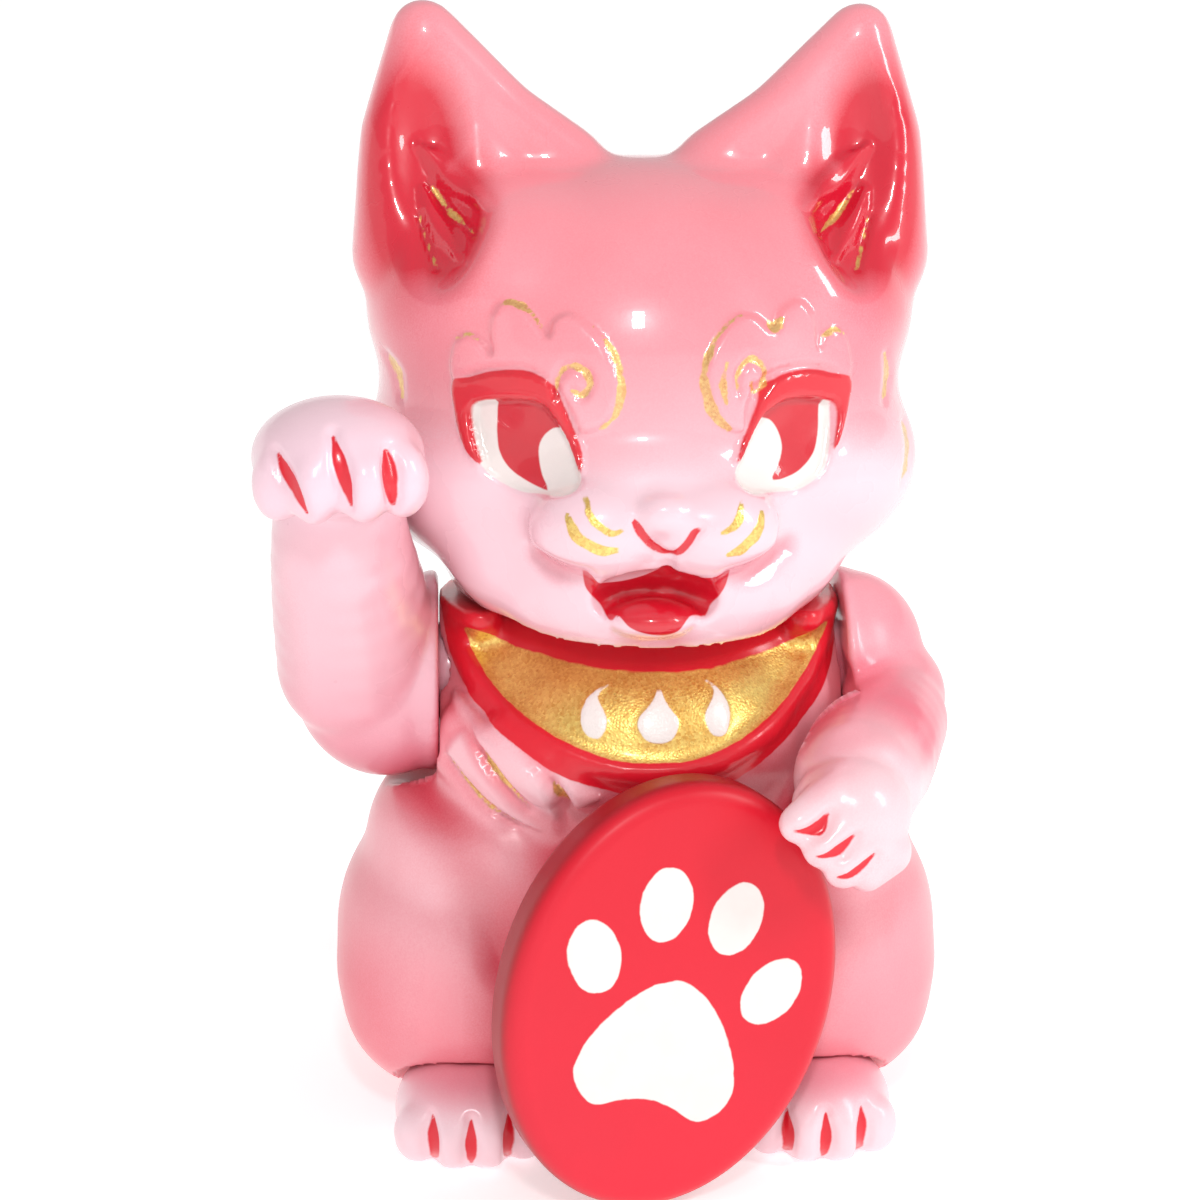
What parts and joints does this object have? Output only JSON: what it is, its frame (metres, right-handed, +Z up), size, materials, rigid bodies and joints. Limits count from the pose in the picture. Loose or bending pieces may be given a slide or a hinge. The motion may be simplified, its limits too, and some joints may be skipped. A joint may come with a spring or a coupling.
{
  "type": "beckoning cat figurine",
  "caption": "Seated soft-vinyl cat with one paw raised and the other on an oval plaque, with a turning head, swinging arms, swivelling feet and a spinning bobtail.",
  "frame": {"origin": "on the base plane, straight under the neck axis", "axes": "+Z up, -Y to the cat's front, +X to the cat's left"},
  "size_m": [0.1006, 0.1034, 0.161],
  "materials": {
    "body_vinyl": "satin",
    "head_vinyl": "gloss",
    "limb_vinyl": "satin",
    "plaque_vinyl": "satin"
  },
  "bodies": {
    "body": {"body": "body_vinyl", "plaque": "plaque_vinyl"},
    "head": {"head": "head_vinyl"},
    "right_arm": {"right_arm": "limb_vinyl"},
    "left_arm": {"left_arm": "limb_vinyl"},
    "tail": {"tail": "body_vinyl"},
    "right_foot": {"right_foot": "limb_vinyl"},
    "left_foot": {"left_foot": "limb_vinyl"}
  },
  "joints": [
    {"name": "head_turn", "type": "hinge", "parent": "body", "child": "head", "pos_m": [0, 0, 0.077], "axis": [0, 0, 1], "range_deg": [-20, 20]},
    {"name": "right_arm_swing", "type": "hinge", "parent": "body", "child": "right_arm", "pos_m": [-0.029, -0.005, 0.066], "axis": [1, 0, 0], "range_deg": [0, 75]},
    {"name": "left_arm_swing", "type": "hinge", "parent": "body", "child": "left_arm", "pos_m": [0.029, -0.003, 0.066], "axis": [1, 0, 0], "range_deg": [-25, 0]},
    {"name": "tail_spin", "type": "hinge", "parent": "body", "child": "tail", "pos_m": [0, 0.033, 0.016], "axis": [0, 0.9063, 0.4226], "continuous": true},
    {"name": "right_foot_swivel", "type": "hinge", "parent": "body", "child": "right_foot", "pos_m": [-0.025, -0.017, 0.0135], "axis": [0, 0, 1], "range_deg": [-8, 8]},
    {"name": "left_foot_swivel", "type": "hinge", "parent": "body", "child": "left_foot", "pos_m": [0.025, -0.017, 0.0135], "axis": [0, 0, 1], "range_deg": [-8, 8]}
  ]
}
